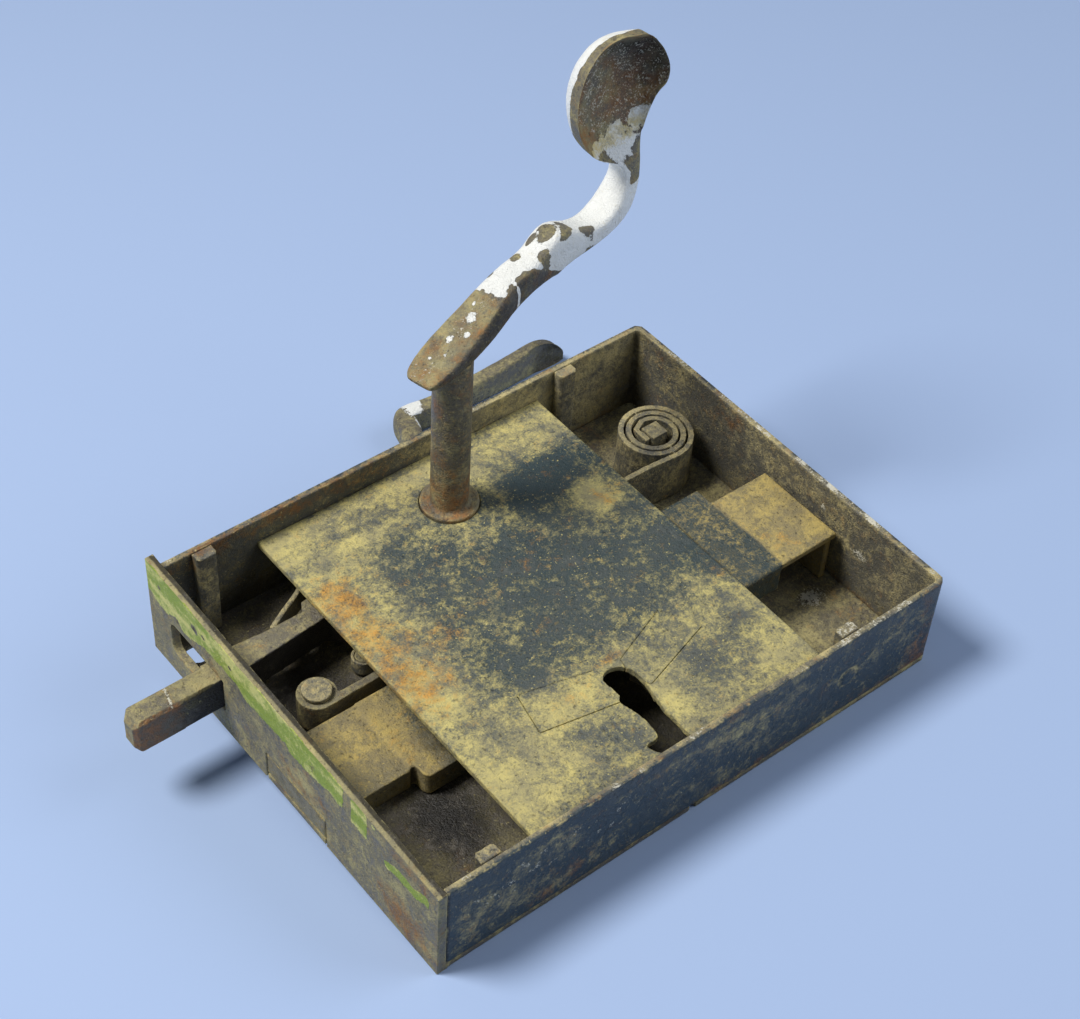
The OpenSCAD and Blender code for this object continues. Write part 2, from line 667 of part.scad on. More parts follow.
// Spiral spring: from the post outwards, then a tail that lies under the latch tail
coil_ring = 24;
coil_low = base_t + 0.3;
coil_high = base_t + 14.8;
coil_hook_r = post_w / 2 + coil_t / 2 + 0.1;
coil_points = [for (i = [0 : coil_ring * coil_turns])
  let (turned = i / coil_ring, a = -90 + 360 * turned)
  coil_at + (coil_r - coil_pitch * turned) * [cos(a), sin(a)]];
coil_end_a = -90 + 360 * coil_turns;
function at_post(normal, beside) =
  coil_at + normal * [cos(coil_end_a + 90), sin(coil_end_a + 90)]
  + beside * [-sin(coil_end_a + 90), cos(coil_end_a + 90)];
coil_mid = coil_at + (coil_r - coil_pitch * (coil_turns + 1 / 8)) * [cos(coil_end_a + 45), sin(coil_end_a + 45)];
coil_tail_y = tail_low_y - slide_fit - coil_t / 2 - 0.4;
coil_tail = [
  [latch_tail_end - 5, coil_tail_y],
  [latch_tail_end + 12, coil_tail_y - 0.4],
  [coil_at[0] - 9, coil_at[1] - coil_r + 0.8],
];
coil_path = concat(coil_tail, coil_points, [coil_mid, at_post(coil_hook_r, -1.4), at_post(coil_hook_r, 1.6)]);
// Least gap between the strip and itself, half a turn or more further on
coil_gap = min([for (i = [0 : len(coil_path) - 1], j = [i + coil_ring / 2 : 1 : len(coil_path) - 1])
  norm(coil_path[i] - coil_path[j])]) - coil_t;
echo(spiral_spring_least_gap = coil_gap);

module spiral_spring() {
  color(iron_ochre) in_case() prism(coil_low, coil_high) polygon(strip(coil_path, coil_t));
}

module spring_post() {
  color(iron_rust) in_case() {
    rod(coil_at, tenon_r, 0, base_t);
    translate([coil_at[0], coil_at[1], 0]) rotate([0, 0, coil_end_a + 90])
      block([-post_w / 2, -post_w / 2, base_t], [post_w / 2, post_w / 2, coil_high + 0.6]);
  }
}

// Deadbolt: head, shoulder, notched shank, riser, and a raised tail plate with a lip turned down
// along its lower edge and a foot turned down at its end
shank_y = bolt_y + 3.5;
bolt_high_y = bolt_y + bolt_w;
head_l = 24;
shoulder_x = [25.4, 42];
shoulder_low = bolt_y - 4.2;
shoulder_rise = 0.4;
lip_h = 9;
lip_r = 1.6;
riser_x = guide_at[0] + bolt_throw + 5;
tail_end = rear_in - 1.5;
tail_step_x = tail_end - 18.5;
tail_low = bolt_y - 9.5;
tail_top = cover_z - slide_fit;
talon_w = 9;
talon_x = key_x + bolt_throw / 2;
tooth_x = 60;
tooth_w = 3;

// Outline of the shoulder behind the head, with its front corner rounded
module shoulder_plan() {
  r = 2;
  polygon(concat(
    [[shoulder_x[0] - 0.9, bolt_high_y], [shoulder_x[0] - 0.9, bolt_y + 0.8], [shoulder_x[0], bolt_y + 0.2]],
    arc([shoulder_x[0] + r, shoulder_low + r], r, 180, 270, 6),
    [[shoulder_x[1], shoulder_low], [shoulder_x[1], bolt_high_y]]));
}

// Section of the turned-down lip, across the tail plate
module lip_plan() {
  top = tail_top;
  polygon(concat(
    [[tail_low + tail_t + 2, top - tail_t], [tail_low + tail_t, top - tail_t - 1],
     [tail_low + tail_t, top - lip_h], [tail_low, top - lip_h]],
    arc([tail_low + lip_r, top - lip_r], lip_r, 180, 90, 6),
    [[tail_low + tail_t + 2, top]]));
}

module deadbolt() {
  pin_gap = guide_r + slide_fit / 2;
  color(iron_ochre) in_case() difference() {
    union() {
      block([0, bolt_y, bolt_z], [head_l, bolt_high_y, bolt_top]);
      block([head_l, shank_y, bolt_z], [riser_x + 3, bolt_high_y, bolt_top]);
      prism(bolt_z, bolt_top + shoulder_rise) shoulder_plan();
      block([riser_x, shank_y, bolt_z], [riser_x + 3, bolt_high_y - 1, tail_top]);
      block([riser_x, tail_low + lip_r, tail_top - tail_t], [tail_step_x, bolt_high_y - 1, tail_top]);
      translate([riser_x, 0, 0]) rotate([90, 0, 90]) linear_extrude(tail_step_x - riser_x) lip_plan();
      block([tail_step_x, tail_low, tail_top - tail_t], [tail_end, bolt_high_y - 6.5, tail_top]);
      block([tail_end - tail_t, tail_low + 1, bolt_z], [tail_end, bolt_high_y - 7.5, tail_top]);
    }
    // Talon for the key's bit
    block([talon_x - talon_w / 2, shank_y - cut, 0], [talon_x + talon_w / 2, shank_y + 5, tail_low]);
    // Slot for the guide pin
    prism(0, bolt_top + cut) translate(guide_at) {
      circle(pin_gap);
      translate([bolt_throw, 0]) circle(pin_gap);
      translate([0, -pin_gap]) square([bolt_throw, 2 * pin_gap]);
    }
    // Two notches for the tumbler's tooth
    for (x = [tooth_x, tooth_x + bolt_throw])
      block([x - tooth_w / 2 - 1, bolt_high_y - 2, 0], [x + tooth_w / 2 + 1, bolt_high_y + cut, bolt_top + cut]);
  }
}

guide_r = 3;

module bolt_guide_pin() {
  color(iron_rust) in_case() {
    riveted_post(guide_at, guide_r, bolt_top + slide_fit);
    rod(guide_at, guide_r * 1.5, bolt_top + slide_fit, bolt_top + slide_fit + 1.5);
  }
}

// Tumbler: an eye on its stud, a strip along the deadbolt, a tooth and a tongue for the key
tumbler_t = 2.2;
eye_r = 5;
eye_bore_r = 3;
tumbler_low = base_t + 0.6;
tumbler_high = bolt_top + slide_fit + 2;
tumbler_end = key_x + 8;
strip_y = bolt_high_y + 0.7;
strip_rise = 0.03 * (tumbler_end - tumbler_at[0]);

module tumbler() {
  far_y = strip_y + strip_rise;
  color(iron_ochre) in_case() difference() {
    union() {
      prism(tumbler_low, tumbler_high) {
        translate(tumbler_at) circle(eye_r);
        polygon([[tumbler_at[0], strip_y + 0.8], [tumbler_end, far_y], [tumbler_end, far_y + tumbler_t],
                 [tumbler_at[0] + 4.6, strip_y + tumbler_t + 1]]);
      }
      // Tooth over the deadbolt's notch
      block([tooth_x - tooth_w / 2, bolt_high_y + slide_fit, tumbler_low],
            [tooth_x + tooth_w / 2, strip_y + tumbler_t, bolt_top]);
      // Tongue over the deadbolt
      prism(bolt_top + slide_fit, tumbler_high) polygon([
        [key_x - 6, far_y + 0.5], [key_x - 5, shank_y + 2], [key_x, shank_y + 0.5],
        [key_x + 5, shank_y + 2], [tumbler_end, far_y + 0.5]]);
    }
    rod(tumbler_at, eye_bore_r + run_fit, 0, cover_z);
  }
}

module tumbler_stud() {
  color(iron_rust) in_case() {
    riveted_post(tumbler_at, eye_bore_r, tumbler_high + slide_fit);
    rod(tumbler_at, eye_bore_r + 0.75, tumbler_high + slide_fit, tumbler_high + 1.5);
  }
}

// Tumbler spring: a thin blade hooked round its own stud
hook_r = 2.2;
blade_t = 0.8;
blade_end_x = 53;
blade_end_y = strip_y + 0.03 * (blade_end_x - tumbler_at[0]) + tumbler_t + 0.6 + slide_fit + blade_t / 2;
blade_bend_r = hook_r + 0.1 + blade_t / 2;
blade_path = concat(
  arc(tumbler_spring_at, blade_bend_r, 80, 255, 10),
  smooth([tumbler_spring_at + blade_bend_r * [cos(268), sin(268)],
          [blade_end_x - 8, blade_end_y + 2.2], [blade_end_x, blade_end_y]], 5));

module tumbler_spring() {
  color(iron_dark) in_case() prism(base_t + 1, latch_z - 0.5) polygon(strip(blade_path, blade_t));
}

module tumbler_spring_stud() {
  color(iron_rust) in_case() riveted_post(tumbler_spring_at, hook_r, latch_z - 0.4);
}

base_plate();
rim_band();
forend_plate();
wall_studs();
stud_rivets();
cover_plate();
cover_pillars();
ward_tabs();
ward_bows();
ward_rivets();
follower();
spindle();
spoon_handle();
case_handle();
handle_pin();
latch_bar();
latch_pivot();
latch_spring();
latch_spring_rivets();
spiral_spring();
spring_post();
deadbolt();
bolt_guide_pin();
tumbler();
tumbler_stud();
tumbler_spring();
tumbler_spring_stud();
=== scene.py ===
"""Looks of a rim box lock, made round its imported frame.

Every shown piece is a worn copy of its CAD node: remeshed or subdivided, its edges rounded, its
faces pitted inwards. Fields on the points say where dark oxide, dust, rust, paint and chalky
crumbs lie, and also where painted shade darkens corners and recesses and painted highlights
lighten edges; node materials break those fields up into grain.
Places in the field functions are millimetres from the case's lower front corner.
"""
import json
import math

import bmesh
import bpy
import numpy as np
from mathutils import Matrix, Vector


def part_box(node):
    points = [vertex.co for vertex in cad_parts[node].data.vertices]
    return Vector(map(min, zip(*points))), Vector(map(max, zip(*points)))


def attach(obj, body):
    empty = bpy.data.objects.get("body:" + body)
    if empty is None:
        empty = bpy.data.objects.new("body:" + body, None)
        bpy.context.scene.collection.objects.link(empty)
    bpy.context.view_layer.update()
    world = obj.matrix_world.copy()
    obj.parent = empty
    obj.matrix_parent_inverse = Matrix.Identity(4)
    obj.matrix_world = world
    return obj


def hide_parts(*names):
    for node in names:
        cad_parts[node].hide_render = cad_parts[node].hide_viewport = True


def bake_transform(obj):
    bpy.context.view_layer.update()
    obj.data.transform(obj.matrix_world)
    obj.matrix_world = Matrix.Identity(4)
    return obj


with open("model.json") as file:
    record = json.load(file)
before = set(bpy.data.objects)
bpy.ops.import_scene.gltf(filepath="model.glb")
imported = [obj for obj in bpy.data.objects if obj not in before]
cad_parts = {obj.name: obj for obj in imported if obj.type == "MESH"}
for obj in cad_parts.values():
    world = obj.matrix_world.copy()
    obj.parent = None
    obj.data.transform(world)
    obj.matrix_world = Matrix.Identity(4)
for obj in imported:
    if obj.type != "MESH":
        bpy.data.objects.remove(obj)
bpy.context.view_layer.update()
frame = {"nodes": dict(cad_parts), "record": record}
nodes = frame["nodes"]
record = frame["record"]

MM = 0.001
BODY_OF = {
    node: body for body, members in record["behaviour"]["bodies"].items() for node in members
}

# Places that the fields are measured from
BASE_LOW, BASE_HIGH = (np.array(corner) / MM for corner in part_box("base_plate"))
CORNER = np.array([BASE_LOW[0], BASE_LOW[1], 0.0])
CASE_L, CASE_W = (BASE_HIGH - BASE_LOW)[:2]
RIM_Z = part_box("rim_band")[1][2] / MM
FOREND_RISE = 3


def centre_of(node):
    """Centre of a CAD node's box, in millimetres from the case's lower front corner."""
    low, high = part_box(node)
    return np.array(low + high) / 2 / MM - CORNER


SPINDLE = centre_of("spindle")[:2]
HUB_Z = 69.5
HANDLE_RAISE = math.radians(14)

# Middle and half size of the spoon's bowl, along the lever and over the hub
BOWL_U, BOWL_H = 62.5, 41
BOWL_HALF_U, BOWL_HALF_H = 15.5, 15
BOWL_TURN = math.radians(10)

# Rivet heads that show: over the pillars (x, y), on the ward tabs (x, y), on the lower wall (x, z)
PILLAR_HEADS = [(59.4, 106.4), (104, 107), (36, 9), (109, 9)]
WARD_HEADS = [(59.8, 29.8), (85.2, 29.8)]
WALL_HEADS = [(121.4, 14.2)]


# Camera, floor and light

def srgb(r, g, b):
    """A colour written in 8-bit screen values, as linear values."""
    def linear(v):
        v /= 255
        return v / 12.92 if v <= 0.04045 else ((v + 0.055) / 1.055) ** 2.4
    return (linear(r), linear(g), linear(b), 1.0)


def make_camera():
    """Place, turn and lens were fitted to the case's corners."""
    place = (-0.22982, -0.25549, 0.40505)
    right = Vector((0.78189, -0.62156, 0.04814))
    down = Vector((-0.42116, -0.58357, -0.69431))
    forward = Vector((0.45965, 0.52260, -0.71806))
    data = bpy.data.cameras.new("camera")
    data.sensor_fit = "HORIZONTAL"
    data.sensor_width = 36
    data.lens = 71.54
    data.clip_start = 0.01
    camera = bpy.data.objects.new("camera", data)
    turn = Matrix((right, -down, -forward)).transposed().to_4x4()
    camera.matrix_world = Matrix.Translation(place) @ turn
    bpy.context.scene.collection.objects.link(camera)
    bpy.context.scene.camera = camera


def make_floor():
    """The lock leans on its lower wall and on the handle under it, so the floor is tilted."""
    foot = CORNER[1] * MM
    slope = max(
        -v.co.z / (v.co.y - foot)
        for node in nodes.values() for v in node.data.vertices if v.co.z < -1 * MM
    )
    half = 2.5
    corners = ((-half, -half), (half, -half), (half, half), (-half, half))
    mesh = bpy.data.meshes.new("floor")
    mesh.from_pydata([(x, foot + y, -slope * y) for x, y in corners], [], [(0, 1, 2, 3)])
    floor = bpy.data.objects.new("floor", mesh)
    bpy.context.scene.collection.objects.link(floor)
    material = bpy.data.materials.new("floor")
    material.use_nodes = True
    shader = material.node_tree.nodes["Principled BSDF"]
    shader.inputs["Base Color"].default_value = srgb(168, 189, 224)
    shader.inputs["Roughness"].default_value = 0.9
    shader.inputs["Specular IOR Level"].default_value = 0.2
    mesh.materials.append(material)


def make_lamp(name, place, size, power, colour):
    """A round lamp that faces the middle of the lock."""
    data = bpy.data.lights.new(name, "AREA")
    data.shape = "DISK"
    data.size = size
    data.energy = power
    data.color = colour
    lamp = bpy.data.objects.new(name, data)
    lamp.location = place
    lamp.rotation_euler = (-Vector(place)).to_track_quat("-Z", "Y").to_euler()
    bpy.context.scene.collection.objects.link(lamp)


def make_light():
    make_lamp("key", place=(-0.6, 0.4, 1.1), size=0.5, power=16.2, colour=(1.0, 0.98, 0.95))
    make_lamp("fill", place=(0.75, -0.55, 0.9), size=0.9, power=5.2, colour=(0.95, 0.98, 1.0))
    world = bpy.data.worlds.new("studio")
    world.use_nodes = True
    back = world.node_tree.nodes["Background"]
    back.inputs["Color"].default_value = srgb(214, 228, 252)
    back.inputs["Strength"].default_value = 0.19
    bpy.context.scene.world = world
    bpy.context.scene.view_settings.view_transform = "Standard"


# Noise and fields on points, in millimetres

def lattice(cell, seed):
    """A repeatable value from 0 to 1 for each whole-number cell."""
    mask = np.uint64(0xFFFFFFFF)
    c = cell.astype(np.int64).astype(np.uint64)
    h = (c[:, 0] * np.uint64(374761393) + c[:, 1] * np.uint64(668265263)
         + c[:, 2] * np.uint64(2246822519) + np.uint64(seed * 3266489917 % 2**32)) & mask
    h = ((h ^ (h >> np.uint64(15))) * np.uint64(2654435761)) & mask
    h = ((h ^ (h >> np.uint64(13))) * np.uint64(1274126177)) & mask
    return (h ^ (h >> np.uint64(16))).astype(float) / 2**32


def noise(points, size, seed):
    """Smooth noise from 0 to 1 with features of about size."""
    p = points / size
    base = np.floor(p)
    f = p - base
    f = f * f * (3 - 2 * f)
    total = np.zeros(len(p))
    for dx in (0, 1):
        for dy in (0, 1):
            for dz in (0, 1):
                w = (np.where(dx, f[:, 0], 1 - f[:, 0]) * np.where(dy, f[:, 1], 1 - f[:, 1])
                     * np.where(dz, f[:, 2], 1 - f[:, 2]))
                total += w * lattice(base + (dx, dy, dz), seed)
    return total


def fbm(points, size, octaves=3, seed=1):
    """Layered noise from 0 to 1 whose largest features are about size."""
    total, weight = np.zeros(len(points)), 0.0
    for k in range(octaves):
        total += noise(points, size / 2**k, seed + k) * 0.5**k
        weight += 0.5**k
    return total / weight


def ramp(value, low, high):
    """Nought up to low, one from high on, with an eased rise between them."""
    t = np.clip((value - low) / (high - low), 0, 1)
    return t * t * (3 - 2 * t)


def near(value, centre, width):
    """One at the centre, fading out over about width."""
    return np.exp(-(((value - centre) / width) ** 2))


def patch(value, low, high, soft):
    """One between low and high, nought outside, with soft edges."""
    return ramp(value, low - soft, low + soft) - ramp(value, high - soft, high + soft)


def spots(u, v, table):
    """Sum of soft spots, each (u, v, half width, half height, amount)."""
    return sum(near(u, a, w) * near(v, b, h) * amount for a, b, w, h, amount in table)


# Pieces

def points_of(mesh):
    """Points and normals of a mesh, in millimetres from the case's lower front corner."""
    co = np.empty(len(mesh.vertices) * 3, np.float32)
    mesh.vertices.foreach_get("co", co)
    no = np.empty(len(mesh.vertices) * 3, np.float32)
    mesh.vertices.foreach_get("normal", no)
    return co.reshape(-1, 3).astype(float) / MM - CORNER, no.reshape(-1, 3).astype(float)


def push(mesh, p, n, depth):
    """Moves each point along its normal."""
    moved = (p + n * depth[:, None] + CORNER) * MM
    mesh.vertices.foreach_set("co", moved.astype(np.float32).ravel())
    mesh.update()


EDGE_GAIN = 5


def edges_of(mesh, p, n, rounds=3):
    """How far each point stands out: about 1 on an edge, 0 on a face, below 0 in a corner."""
    pairs = np.empty(len(mesh.edges) * 2, np.int32)
    mesh.edges.foreach_get("vertices", pairs)
    a, b = pairs.reshape(-1, 2).T
    step = p[b] - p[a]
    step /= np.linalg.norm(step, axis=1)[:, None] + 1e-9
    size = len(p)
    count = np.bincount(a, minlength=size) + np.bincount(b, minlength=size) + 1e-9
    rise = np.bincount(b, (n[b] * step).sum(1), size) - np.bincount(a, (n[a] * step).sum(1), size)
    rise /= count
    for _ in range(rounds):
        rise = (rise + (np.bincount(a, rise[b], size) + np.bincount(b, rise[a], size)) / count) / 2
    return np.clip(rise * EDGE_GAIN, -1, 1)


def baked(shell):
    """Applies the shell's modifiers."""
    bpy.context.view_layer.update()
    result = shell.evaluated_get(bpy.context.evaluated_depsgraph_get())
    mesh = bpy.data.meshes.new_from_object(result)
    shell.modifiers.clear()
    old, shell.data = shell.data, mesh
    bpy.data.meshes.remove(old)
    mesh.name = shell.name
    mesh.polygons.foreach_set("use_smooth", np.ones(len(mesh.polygons), bool))


def copy_of(*names):
    """A new object with the meshes of one or more CAD nodes."""
    bm = bmesh.new()
    for name in names:
        bm.from_mesh(nodes[name].data)
    mesh = bpy.data.meshes.new("worn_" + names[0])
    bm.to_mesh(mesh)
    bm.free()
    shell = bpy.data.objects.new("worn_" + names[0], mesh)
    bpy.context.scene.collection.objects.link(shell)
    return shell


def worn(names, voxel, rounds):
    """A remeshed copy of CAD nodes with rounded edges. Nodes that touch become one skin."""
    shell = copy_of(*names)
    remesh = shell.modifiers.new("remesh", "REMESH")
    remesh.mode = "VOXEL"
    remesh.voxel_size = voxel * MM
    smooth = shell.modifiers.new("smooth", "SMOOTH")
    smooth.factor = 0.5
    smooth.iterations = rounds
    baked(shell)
    return shell


def forged(name, levels):
    """A smooth copy of a CAD node made of rings: its triangles joined to quads and subdivided."""
    shell = copy_of(name)
    bm = bmesh.new()
    bm.from_mesh(shell.data)
    bmesh.ops.remove_doubles(bm, verts=bm.verts, dist=0.001 * MM)
    bmesh.ops.join_triangles(
        bm, faces=bm.faces,
        angle_face_threshold=math.radians(40), angle_shape_threshold=math.radians(70),
    )
    sharp = bm.edges.layers.float.new("crease_edge")
    for edge in bm.edges:
        if edge.is_manifold and edge.calc_face_angle() > math.radians(75):
            edge[sharp] = 0.8
    bm.to_mesh(shell.data)
    bm.free()
    subdivide = shell.modifiers.new("subdivide", "SUBSURF")
    subdivide.levels = levels
    baked(shell)
    return shell


def finish(shell, names, material, fields, pit):
    """Pits a shell, stores its fields, and lets it stand for its CAD nodes."""
    mesh = shell.data
    p, n = points_of(mesh)
    edge = edges_of(mesh, p, n)
    values = fields(p, n, edge)
    depth = pit * (0.7 * fbm(p, 6, 3, 11) + 0.3 * fbm(p, 1.3, 2, 17)) * (1 - np.maximum(edge, 0))
    push(mesh, p, n, -depth - values.pop("depth", 0))
    # Concave corners get extra darkness: painted shade in creases, added to any grime
    values["grime_and_shade"] = values.get("grime_and_shade", 0) + 0.8 * np.maximum(-edge, 0)
    values["edge"] = np.maximum(edge, 0)
    for name, value in values.items():
        layer = mesh.attributes.new(name, "FLOAT", "POINT")
        layer.data.foreach_set("value", np.broadcast_to(value, len(p)).astype(np.float32))
    mesh.materials.append(material)
    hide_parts(*names)


# Materials

class Graph:
    """Short names for building a node tree."""

    def __init__(self, name):
        self.material = bpy.data.materials.new(name)
        self.material.use_nodes = True
        self.tree = self.material.node_tree
        self.shader = self.tree.nodes["Principled BSDF"]
        self.place = self.add("ShaderNodeTexCoord").outputs["Object"]

    def add(self, kind, **settings):
        node = self.tree.nodes.new(kind)
        for key, value in settings.items():
            setattr(node, key, value)
        return node

    def put(self, socket, value):
        if hasattr(value, "is_linked"):
            self.tree.links.new(value, socket)
        else:
            socket.default_value = value

    def noise(self, size, detail=4, rough=0.6, shift=0.0):
        """Noise of mean 0 and about -1 to 1, with features of about size millimetres."""
        move = self.add("ShaderNodeMapping")
        move.inputs["Location"].default_value = (shift, shift * 0.7, shift * 1.3)
        move.inputs["Scale"].default_value = [1 / (size * MM)] * 3
        self.put(move.inputs["Vector"], self.place)
        tex = self.add("ShaderNodeTexNoise")
        self.put(tex.inputs["Vector"], move.outputs["Vector"])
        tex.inputs["Scale"].default_value = 1.0
        tex.inputs["Detail"].default_value = detail
        tex.inputs["Roughness"].default_value = rough
        return self.math("MULTIPLY_ADD", tex.outputs["Fac"], 4.0, -2.0)

    def field(self, name):
        return self.add("ShaderNodeAttribute", attribute_name=name).outputs["Fac"]

    def math(self, operation, a, b=0.0, c=0.0):
        node = self.add("ShaderNodeMath", operation=operation)
        for socket, value in zip(node.inputs, (a, b, c)):
            self.put(socket, value)
        return node.outputs[0]

    def sum(self, start, *parts):
        """start plus each (value, amount) pair."""
        for value, amount in parts:
            start = self.math("MULTIPLY_ADD", value, amount, start)
        return start

    def step(self, value, low, high, to_low=0.0, to_high=1.0):
        """An eased rise of value between low and high, given out between to_low and to_high."""
        node = self.add("ShaderNodeMapRange", interpolation_type="SMOOTHSTEP")
        for key, v in zip(("Value", "From Min", "From Max", "To Min", "To Max"),
                          (value, low, high, to_low, to_high)):
            self.put(node.inputs[key], v)
        return node.outputs["Result"]

    def mix(self, factor, a, b):
        node = self.add("ShaderNodeMix", data_type="RGBA")
        for socket, value in zip((node.inputs[0], node.inputs[6], node.inputs[7]), (factor, a, b)):
            self.put(socket, value)
        return node.outputs[2]


def grey(colour, share):
    """A colour with part of its strength taken out."""
    mean = sum(colour[:3]) / 3
    return tuple(c + (mean - c) * share for c in colour[:3]) + (1.0,)


def shade(colour, factor):
    return (colour[0] * factor, colour[1] * factor, colour[2] * factor, 1.0)


def aged_iron(name, dark, mid, dust, rust, paint=None, stain=None):
    """Iron with oxide skin, dust, rust, grime and painted shade, painted glints, crumbs and chipped
    paint.
    """
    g = Graph(name)

    # Noises, from coarse to fine
    broad = g.noise(16, 4, 0.55)
    blotch = g.noise(5, 6, 0.62, 0.3)
    bloom = g.noise(4, 6, 0.65, 2.1)
    grain = g.noise(1.6, 5, 0.7, 0.7)
    speck = g.noise(0.5, 3, 0.65, 1.1)
    fine = g.sum(0.0, (grain, 0.6), (speck, 0.5))

    # Dark skin, dusty film and rust
    darkness = g.sum(g.field("dark"), (broad, 0.15), (blotch, 0.35), (grain, 0.2))
    dustiness = g.sum(g.field("dust"), (broad, 0.18), (blotch, 0.36), (grain, 0.36), (speck, 0.22))
    rustiness = g.sum(g.field("rust"), (bloom, 0.34), (grain, 0.2), (speck, 0.12))
    skin_mask = g.step(darkness, 0.1, 0.9)
    dust_mask = g.step(dustiness, 0.05, 0.95)
    rust_mask = g.step(rustiness, 0.3, 0.95)
    skin = g.mix(skin_mask, mid, dark)
    skin = g.mix(g.step(fine, -0.2, 1.0, 0.0, 0.7), skin, shade(mid, 0.4))
    tone = g.step(g.sum(g.noise(9, 5, 0.62, 5.3), (fine, 0.6)), -0.9, 0.9)
    dusty = g.mix(tone, shade(grey(dust, 0.35), 0.62), shade(dust, 1.15))
    rust_tone = g.step(g.sum(fine, (blotch, 0.5)), -0.8, 0.8)
    rusty = g.mix(rust_tone, shade(rust, 0.5), shade(rust, 1.15))
    colour = g.mix(g.math("MULTIPLY", dust_mask, 0.95), skin, dusty)
    colour = g.mix(g.math("MULTIPLY", rust_mask, 0.85), colour, rusty)

    # Painted glints, pores, grime with painted shade, and worn edges with a painted highlight
    painted_glints = g.step(g.noise(0.7, 2, 0.5, 4.4), 0.65, 0.95)
    colour = g.mix(g.math("MULTIPLY", painted_glints, 0.65), colour, shade(dust, 1.25))
    pores = g.step(g.noise(0.9, 3, 0.6, 6.1), 0.3, 0.9)
    # The grime field darkens with grime and with painted shade in corners and recesses
    grime_and_shade = g.step(g.sum(g.field("grime_and_shade"), (blotch, 0.25), (grain, 0.25)), 0.2, 0.85)
    colour = g.mix(g.math("MULTIPLY", pores, 0.5), colour, GRIME_AND_SHADE)
    colour = g.mix(g.math("MULTIPLY", grime_and_shade, 0.85), colour, GRIME_AND_SHADE)
    # Convex edges are lightened: worn metal and a painted highlight
    worn_and_lit_edges = g.step(g.sum(g.field("edge"), (blotch, 0.3), (grain, 0.4)), 0.55, 1.0)
    colour = g.mix(g.math("MULTIPLY", worn_and_lit_edges, 0.6), colour, shade(dust, 1.1))
    roughness = g.step(dust_mask, 0.0, 1.0, 0.42, 0.85)
    height = g.sum(0.0, (blotch, 0.2), (grain, 0.35), (speck, 0.3))
    height = g.sum(height, (dust_mask, 0.2), (rust_mask, 0.35), (pores, -0.5))

    if paint:
        flake = g.noise(2.6, 4, 0.6, 3.3)
        cover = g.sum(g.field("paint"), (flake, 0.22), (grain, 0.15), (speck, 0.06))
        coat = g.step(cover, 0.46, 0.54)
        wear = g.sum(g.field("stain"), (blotch, 0.35), (grain, 0.4), (speck, 0.2))
        colour = g.mix(coat, colour, g.mix(g.step(wear, 0.2, 1.0), paint, stain))
        roughness = g.step(coat, 0.0, 1.0, roughness, 0.6)
        height = g.sum(height, (coat, 1.0))

    # Chalky crumbs, and everything into the shader
    chalk = g.step(g.sum(g.field("chalk"), (grain, 0.3), (speck, 0.4)), 0.55, 0.75)
    colour = g.mix(g.math("MULTIPLY", chalk, 0.85), colour, CHALK)
    g.put(g.shader.inputs["Base Color"], colour)
    g.put(g.shader.inputs["Roughness"], roughness)
    g.shader.inputs["Metallic"].default_value = 0.1
    g.shader.inputs["Specular IOR Level"].default_value = 0.45
    relief = g.add("ShaderNodeBump")
    relief.inputs["Strength"].default_value = 0.8
    relief.inputs["Distance"].default_value = 0.3 * MM
    g.put(relief.inputs["Height"], g.sum(height, (chalk, 0.6)))
    g.put(g.shader.inputs["Normal"], relief.outputs["Normal"])
    return g.material


# Colours
PATINA = srgb(57, 72, 75)
PATINA_MID = srgb(96, 99, 93)
OCHRE = srgb(180, 168, 118)
OCHRE_BRIGHT = srgb(208, 194, 124)
OCHRE_YELLOW = srgb(196, 174, 104)
OCHRE_PALE = srgb(200, 184, 130)
ORANGE = srgb(210, 151, 66)
RUST = srgb(160, 108, 60)
BROWN = srgb(52, 48, 45)
BROWN_MID = srgb(110, 104, 92)
WALL_MID = srgb(104, 102, 94)
BOLT_MID = srgb(132, 122, 92)
BLUE_BLACK = srgb(52, 68, 76)
GRIME_AND_SHADE = srgb(26, 25, 24)
CHALK = srgb(228, 224, 206)
WHITE_PAINT = srgb(246, 246, 240)
WHITE_STAIN = srgb(226, 208, 150)
GREEN_PAINT = srgb(150, 168, 62)
GREEN_STAIN = srgb(222, 216, 130)

# Grain that is drawn out along the case, and along the forend
STREAK = np.array([0.12, 1.0, 1.0])
FOREND_STREAK = np.array([1.0, 0.2, 1.0])


# Where the films lie on each piece: p are points, n normals, edge how far a point stands out.
# A list of spots has rows of two places, half width, half height and amount.

def rings(u, v, centres, radius, width=0.4):
    """Round grooves where rivet heads were dressed flush."""
    return sum(near(np.hypot(u - a, v - b), radius, width) for a, b in centres)


